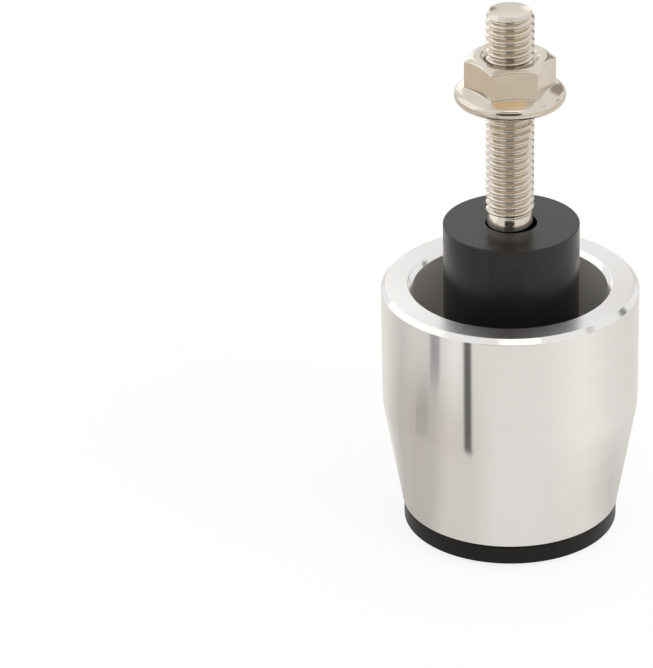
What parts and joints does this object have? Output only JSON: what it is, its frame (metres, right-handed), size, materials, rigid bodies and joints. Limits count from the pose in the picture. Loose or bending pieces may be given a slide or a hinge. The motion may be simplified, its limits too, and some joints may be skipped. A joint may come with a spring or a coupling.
{
  "type": "bar end weight",
  "caption": "Turned handlebar end weight with an open recess, black end cap, spacer collar, long threaded stud and flange nut.",
  "frame": {"origin": "centre of the end cap's outer face, on the surface that the part stands on", "axes": "+Z along the stud, from the end cap to the free end of the thread; -Y is the side that the picture shows"},
  "size_m": [0.042, 0.042, 0.0912],
  "materials": {
    "shell": "fine turned and polished, clear",
    "cap": "black anodised, satin",
    "collar": "black anodised, matt",
    "fastener": "bright nickel plate"
  },
  "bodies": {
    "weight": {"shell": "shell", "end_cap": "cap", "stud": "fastener", "collar": "collar"},
    "nut": {"flange_nut": "fastener"}
  },
  "joints": [
    {"name": "nut_run", "type": "slide", "parent": "weight", "child": "nut", "axis": [0, 0, 1], "range_m": [-0.01875, 0.00625]}
  ]
}
